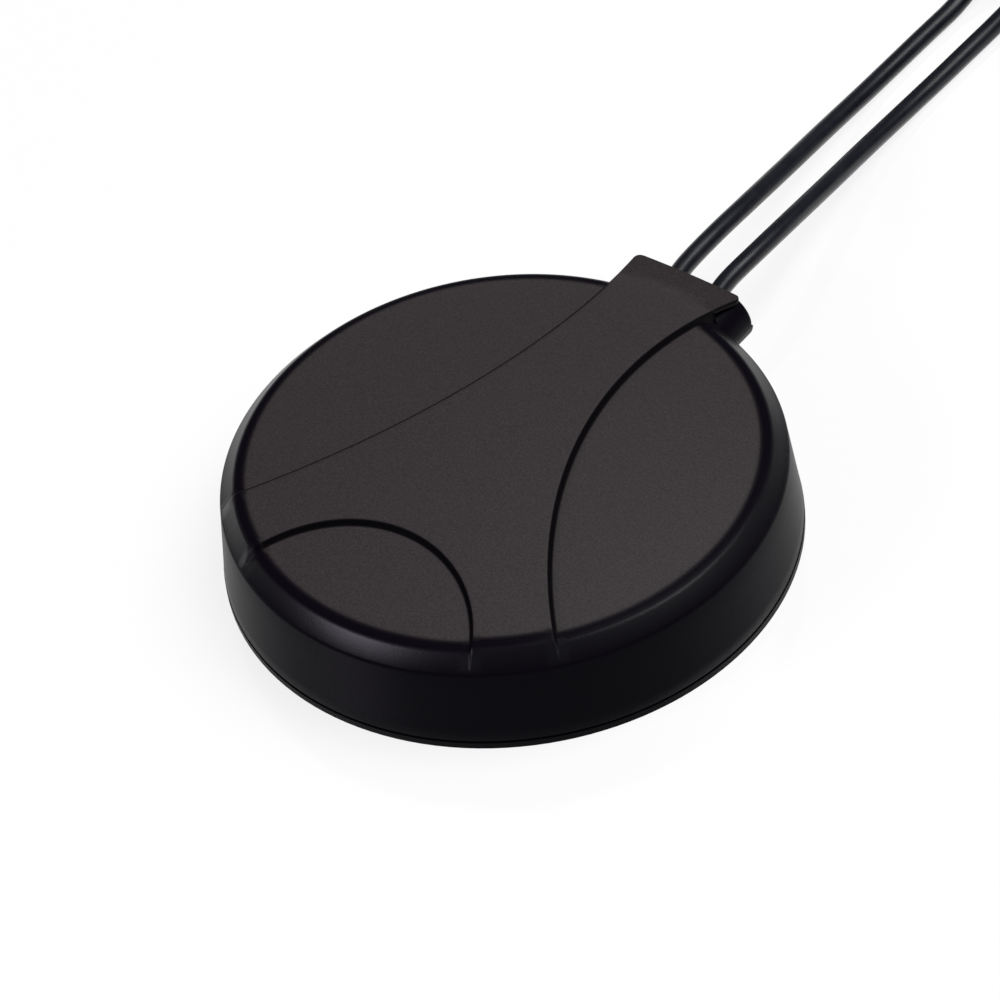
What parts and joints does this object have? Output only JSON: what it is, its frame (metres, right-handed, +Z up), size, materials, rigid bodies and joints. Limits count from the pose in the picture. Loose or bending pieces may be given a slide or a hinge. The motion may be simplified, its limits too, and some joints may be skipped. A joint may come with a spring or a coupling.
{
  "type": "low round roof antenna with two coax cables",
  "caption": "Low domed round antenna for satellite positioning and mobile data, with a raised star on its top, a flat foam-backed base and two coiled coax cables that end in screw-on plugs.",
  "frame": {"origin": "on the mounting surface, on the axis of the round housing", "axes": "+Z up from the mounting surface, +Y from the housing's axis towards the cable nose, +X to the right when looking along +Y"},
  "size_m": [0.1165, 0.2323, 0.0305],
  "materials": {
    "housing": "fine moulded grain, warm dark grey",
    "base": "moulded, nearly black",
    "seal_rubber": "moulded rubber",
    "foam": "closed-cell foam with adhesive",
    "screw_steel": "zinc plated",
    "board": "green solder mask",
    "tape": "double-sided tape",
    "ceramic": "ground ceramic",
    "silver": "fired silver layer",
    "gold_plating": "gold plated brass",
    "tin_plate": "tin plated sheet",
    "chip": "moulded chip bodies",
    "carrier_plastic": "moulded, natural",
    "brass_sheet": "bare stamped sheet",
    "cable_jacket": "soft black cable jacket, satin",
    "tie_plastic": "nylon",
    "sleeve": "heat-shrink sleeve",
    "spring_bronze": "spring bronze",
    "gasket_silicone": "silicone rubber",
    "white_insulator": "white fluoroplastic"
  },
  "bodies": {
    "antenna": {"top_cover": "housing", "base_plate": "base", "seal_ring": "seal_rubber", "mounting_pad": "foam", "base_screws": "screw_steel", "main_board": "board", "board_screws": "screw_steel", "patch_tape": "tape", "gps_patch": "ceramic", "patch_electrode": "silver", "feed_pin": "gold_plating", "shield_can": "tin_plate", "amplifier_parts": "chip", "cell_carrier": "carrier_plastic", "cell_element": "brass_sheet", "matching_parts": "chip", "solder_joints": "tin_plate", "cable_grommet": "seal_rubber", "cable_clamp": "tin_plate", "clamp_screw": "screw_steel", "gps_lead": "cable_jacket", "cell_lead": "cable_jacket", "gps_cord": "cable_jacket", "gps_coil": "cable_jacket", "gps_tie": "tie_plastic", "gps_cord_end": "cable_jacket", "gps_boot": "sleeve", "gps_ferrule": "gold_plating", "gps_plug_body": "gold_plating", "gps_snap_ring": "spring_bronze", "gps_gasket": "gasket_silicone", "gps_insulator": "white_insulator", "gps_pin": "gold_plating", "cell_cord": "cable_jacket", "cell_coil": "cable_jacket", "cell_tie": "tie_plastic", "cell_cord_end": "cable_jacket", "cell_boot": "sleeve", "cell_ferrule": "gold_plating", "cell_plug_body": "gold_plating", "cell_snap_ring": "spring_bronze", "cell_gasket": "gasket_silicone", "cell_insulator": "white_insulator", "cell_pin": "gold_plating"},
    "gps_nut": {"gps_plug_nut": "gold_plating"},
    "cell_nut": {"cell_plug_nut": "gold_plating"}
  },
  "joints": [
    {"name": "gps_nut_turn", "type": "hinge", "parent": "antenna", "child": "gps_nut", "pos_m": [0.0488, 0.082, 0.00485], "axis": [0, -1, 0], "continuous": true},
    {"name": "cell_nut_turn", "type": "hinge", "parent": "antenna", "child": "cell_nut", "pos_m": [0.0765, 0.1883, 0.00485], "axis": [1, 0, 0], "continuous": true}
  ]
}
